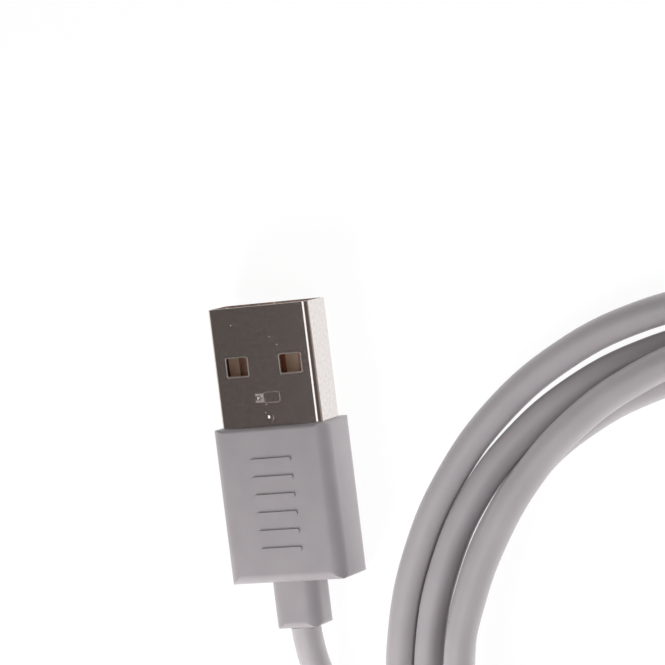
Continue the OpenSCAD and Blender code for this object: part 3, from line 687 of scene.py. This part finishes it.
grip_finish = moulded("grip_moulding", (0.310, 0.286, 0.300), (0.334, 0.308, 0.322), 0.42)
insulator_finish = moulded("insulator_plastic", (0.68, 0.50, 0.39), (0.74, 0.55, 0.43), 0.4)
inner_finish = moulded("inner_moulding", (0.52, 0.50, 0.43), (0.60, 0.58, 0.50), 0.35)
housing_finish = moulded("far_housing_plastic", (0.012, 0.012, 0.013), (0.02, 0.02, 0.021), 0.45)
board_finish = moulded("board_mask", (0.012, 0.10, 0.035), (0.02, 0.14, 0.05), 0.25, grain=0.3)
resistor_finish = moulded("resistor_body", (0.012, 0.012, 0.012), (0.02, 0.02, 0.02), 0.4)
print("the grip's finish has", len(grip_finish.node_tree.nodes), "nodes")

# %% [markdown]
# The cord's jacket is pressed out of a round nozzle, so its marks are long streaks that run with the
# cable. Noise on the object's coordinates would cut across them at every bend. The two attributes
# that came with the mesh give the place on the cable as if it were straight, and squeezing the
# length draws the noise out into streaks.

# %% Finish of the cord's jacket
STREAK_SIZE = 0.35
STREAK_SQUEEZE = 0.08
JACKET_CLOUD_SIZE = 5.0
JACKET_COLOUR, JACKET_ROUGHNESS = (0.395, 0.368, 0.381), 0.38
JACKET_DARK, JACKET_LIGHT = (0.380, 0.354, 0.367), (0.410, 0.382, 0.396)
JACKET_SMOOTH, JACKET_ROUGH = 0.33, 0.45


def jacket_finish(name):
    """Smooth extruded plastic, read along the cord and round its ring."""
    _, tree, shader = new_finish(name, JACKET_COLOUR, JACKET_ROUGHNESS)
    ring = add_node(tree, "ShaderNodeAttribute", attribute_name="ring")
    along = add_node(tree, "ShaderNodeAttribute", attribute_name="along")
    across = tree.nodes.new("ShaderNodeSeparateXYZ")
    link(tree, ring.outputs["Vector"], across.inputs["Vector"])
    squeezed = add_node(tree, "ShaderNodeMath", {1: STREAK_SQUEEZE}, operation="MULTIPLY")
    link(tree, along.outputs["Fac"], squeezed.inputs[0])
    straight = tree.nodes.new("ShaderNodeCombineXYZ")
    link(tree, across.outputs["X"], straight.inputs["X"])
    link(tree, across.outputs["Y"], straight.inputs["Y"])
    link(tree, squeezed.outputs["Value"], straight.inputs["Z"])
    streaks = add_noise(tree, straight.outputs["Vector"], STREAK_SIZE)
    cloud = add_noise(tree, object_place(tree), JACKET_CLOUD_SIZE)
    vary_colour(tree, shader, cloud, JACKET_DARK, JACKET_LIGHT)
    vary_roughness(tree, shader, streaks, JACKET_SMOOTH, JACKET_ROUGH)
    add_bump(tree, shader, streaks, PLASTIC_RELIEF)


jacket_finish("cord_jacket")
print("streaks are", round(1 / STREAK_SQUEEZE, 1), "times as long as wide")

# %% [markdown]
# The shell is plated steel sheet. A mirror would look wet and a rough metal would look cast, so it
# is smooth with a fine grain, and its colour changes a little from spot to spot as rolled sheet does.
# The picture also shows a few pale specks of dust on it. A Voronoi pattern has one dot in each of its
# cells, and where a dot is small enough it turns the metal to something that isn't metal.

# %% Finishes of the sheet metals
SPECK_PITCH = 1.5
SPECK_R = 0.045
SHEET_RELIEF = 0.0003
SHEET_SMOOTHER, SHEET_ROUGHER = 0.03, 0.05


def add_specks(tree, shader, place):
    """Sparse pale dots that aren't metal, each in its own cell of the pattern."""
    cells = add_node(tree, "ShaderNodeTexVoronoi", {"Scale": 1 / (SPECK_PITCH * MM)})
    link(tree, place, cells.inputs["Vector"])
    dot = add_node(tree, "ShaderNodeMath", {1: SPECK_R / SPECK_PITCH}, operation="LESS_THAN")
    link(tree, cells.outputs["Distance"], dot.inputs[0])
    metal = add_node(tree, "ShaderNodeMath", {0: 1.0}, operation="SUBTRACT")
    link(tree, dot.outputs["Value"], metal.inputs[1])
    link(tree, metal.outputs["Value"], shader.inputs["Metallic"])


def sheet_metal(name, dark, light, roughness, grain=0.12, cloud_size=1.6, specks=False):
    """Rolled sheet between two colours, with clouds and a grain of the given sizes."""
    material, tree, shader = new_finish(name, light, roughness, 1.0)
    place = object_place(tree)
    cloud = add_noise(tree, place, cloud_size, detail=4.0, roughness=0.6)
    fine = add_noise(tree, place, grain, detail=2.0)
    vary_colour(tree, shader, cloud, dark, light)
    vary_roughness(tree, shader, fine, roughness - SHEET_SMOOTHER, roughness + SHEET_ROUGHER)
    add_bump(tree, shader, fine, SHEET_RELIEF)
    if specks:
        add_specks(tree, shader, place)
    return material


plug_metal = sheet_metal(
    "plug_sheet_metal", (0.74, 0.70, 0.68), (0.87, 0.822, 0.797), 0.13, cloud_size=0.4, specks=True,
)
sheet_metal("rim_metal", (0.72, 0.69, 0.68), (0.78, 0.74, 0.72), 0.38)
shield_metal = sheet_metal("shield_tinned", (0.60, 0.60, 0.61), (0.68, 0.68, 0.69), 0.32, 0.3)
far_metal = sheet_metal("far_shell_metal", (0.72, 0.71, 0.70), (0.78, 0.77, 0.76), 0.16)
contact_gold = sheet_metal("contact_plating", (0.70, 0.44, 0.32), (0.80, 0.52, 0.38), 0.22)
print("a speck is", 2 * SPECK_R, "mm wide, in cells of", SPECK_PITCH, "mm")

# %% [markdown]
# The braid is a sleeve of fine tinned strands that wind round the cable both ways. Hundreds of real
# strands would be heavy for a piece that lies hidden in the plug. So two waves run round the sleeve's
# axis, one each way, and the higher of the two at every spot is the strand that lies on top. Where it
# is low, between and under the strands, its colour is darkened as painted shade.

# %% Finish of the braid
AXIS_HEIGHT = 3.35
BRAID_STRANDS = 16
BRAID_PITCH = 0.7
STRAND_HEIGHT = 0.05
PAINTED_SHADE_LOW, PAINTED_SHADE_HIGH = 0.2, 0.9
BRAID_ROUGHNESS = 0.4


def braid_finish(name, dark, light):
    """Two bands of fine strands that wind round the plug's axis both ways; their low places get painted
    shade.
    """
    material, tree, shader = new_finish(name, light, BRAID_ROUGHNESS, 1.0)
    axis = millimetres(0, 0, AXIS_HEIGHT)
    moved = add_node(tree, "ShaderNodeVectorMath", {1: axis}, operation="SUBTRACT")
    link(tree, object_place(tree), moved.inputs[0])
    parts = tree.nodes.new("ShaderNodeSeparateXYZ")
    link(tree, moved.outputs["Vector"], parts.inputs["Vector"])
    angle = add_node(tree, "ShaderNodeMath", operation="ARCTAN2")
    link(tree, parts.outputs["Z"], angle.inputs[0])
    link(tree, parts.outputs["X"], angle.inputs[1])
    around = add_node(tree, "ShaderNodeMath", {1: BRAID_STRANDS}, operation="MULTIPLY")
    link(tree, angle.outputs["Value"], around.inputs[0])
    over = add_node(tree, "ShaderNodeMath", operation="MAXIMUM")
    for way, socket in zip((1, -1), over.inputs):
        twist = {1: way * math.tau / (BRAID_PITCH * MM)}
        phase = add_node(tree, "ShaderNodeMath", twist, operation="MULTIPLY_ADD")
        link(tree, parts.outputs["Y"], phase.inputs[0])
        link(tree, around.outputs["Value"], phase.inputs[2])
        wave = add_node(tree, "ShaderNodeMath", operation="SINE")
        link(tree, phase.outputs["Value"], wave.inputs[0])
        link(tree, wave.outputs["Value"], socket)
    # painted shade: the colour is dark where the higher wave is low, between and under the strands
    vary_colour(tree, shader, over.outputs["Value"], dark, light, PAINTED_SHADE_LOW, PAINTED_SHADE_HIGH)
    add_bump(tree, shader, over.outputs["Value"], STRAND_HEIGHT)
    return material


# the first colour is painted shade for the low places of the weave, the second the tinned strands' own
# colour
braid_metal = braid_finish("braid_tinned", (0.30, 0.24, 0.18), (0.70, 0.62, 0.50))
print("strands each way:", BRAID_STRANDS)

# %% [markdown]
# Each wire is one solid, coloured where it is insulated and bare copper where it is soldered. Two
# materials would need the solid cut in two. One material can do it instead: it measures how far a
# spot lies along the wire's own way, and past the last millimetres it turns from plastic to metal.

# %% Helpers for the wires
def bare_end(tree, shader, along, past, colour):
    """Makes the part of a solid past a plane bare metal; the plane is square to along."""
    insulated = tuple(shader.inputs["Base Color"].default_value)
    distance = add_node(tree, "ShaderNodeVectorMath", {1: along}, operation="DOT_PRODUCT")
    link(tree, object_place(tree), distance.inputs[0])
    bare = add_node(tree, "ShaderNodeMath", {1: past}, operation="GREATER_THAN")
    link(tree, distance.outputs["Value"], bare.inputs[0])
    change = add_node(tree, "ShaderNodeMixRGB", {"Color1": insulated, "Color2": (*colour, 1)})
    link(tree, bare.outputs["Value"], change.inputs["Fac"])
    link(tree, change.outputs["Color"], shader.inputs["Base Color"])
    link(tree, bare.outputs["Value"], shader.inputs["Metallic"])


def reach(solid, along):
    """How far a solid goes along a direction."""
    return max(v.co.dot(along) for v in solid.data.vertices)


def middle(solid):
    """The mean place of a solid's corners."""
    return sum((v.co for v in solid.data.vertices), Vector()) / len(solid.data.vertices)


# %% [markdown]
# A charging cable has four wires, and their colours are the same in nearly all of them: red for the
# supply, black for the ground, white and green for the data. They are the same at both ends, so a
# loop gives each wire its finish. The far plug lies at an angle, and its own way forward is found
# from two of its solids.

# %% Finishes of the wires
COPPER = (0.80, 0.42, 0.26)
WIRE_COLOURS = {
    "red": (0.55, 0.02, 0.015), "white": (0.78, 0.78, 0.75),
    "green": (0.02, 0.22, 0.05), "black": (0.012, 0.012, 0.012),
}
BARE_LENGTH, FAR_BARE_LENGTH = 1.8, 0.9
WIRE_ROUGHNESS = 0.3
WIRE_GRAIN = 0.4
plug_front = Vector((0, 1, 0))
far_front = middle(nodes["far_shell"]) - middle(nodes["far_jacket_end"])
far_front.z = 0
far_front.normalize()
ends = (("wire_", plug_front, BARE_LENGTH), ("far_wire_", far_front, FAR_BARE_LENGTH))
finishes = {}
for start, front, bare_length in ends:
    for colour_name, colour in WIRE_COLOURS.items():
        solid = nodes[start + colour_name]
        material, tree, shader = new_finish(solid.name + "_finish", colour, WIRE_ROUGHNESS)
        bare_end(tree, shader, front, reach(solid, front) - bare_length * MM, COPPER)
        add_bump(tree, shader, add_noise(tree, object_place(tree), WIRE_GRAIN), PLASTIC_RELIEF)
        finishes[start + colour_name] = material
print("the far plug points to", [round(x, 2) for x in far_front], "and wires done:", len(finishes))

# %% [markdown]
# Which solid has which finish is written as one table, so it can be read and changed in one place.
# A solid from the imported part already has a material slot. Putting a better material in that slot
# keeps its shape and its name, so nothing has to be copied or hidden.

# %% Give every solid its finish
finishes.update({
    "plug_shell": plug_metal,
    "insulator": insulator_finish,
    "grip": grip_finish,
    "far_grip": grip_finish,
    "jacket_end": grip_finish,
    "far_jacket_end": grip_finish,
    "inner_mould": inner_finish,
    "far_inner_mould": inner_finish,
    "rear_shield": shield_metal,
    "far_shield": shield_metal,
    "far_latch_spring": shield_metal,
    "far_shell": far_metal,
    "far_housing": housing_finish,
    "braid": braid_metal,
    "far_board": board_finish,
    "far_resistor": resistor_finish,
})
finishes.update({name: contact_gold for name in nodes if "contact" in name})
for name, finish in finishes.items():
    nodes[name].material_slots[0].material = finish
print("solids without a finish:", [name for name in nodes if name not in finishes])

# %% [markdown]
# Blender's usual view turns bright colours pale. A picture that is to match a photograph is shown
# with the Standard view instead, where a colour comes out as it is written.

# %% Colour management
bpy.context.scene.view_settings.view_transform = "Standard"
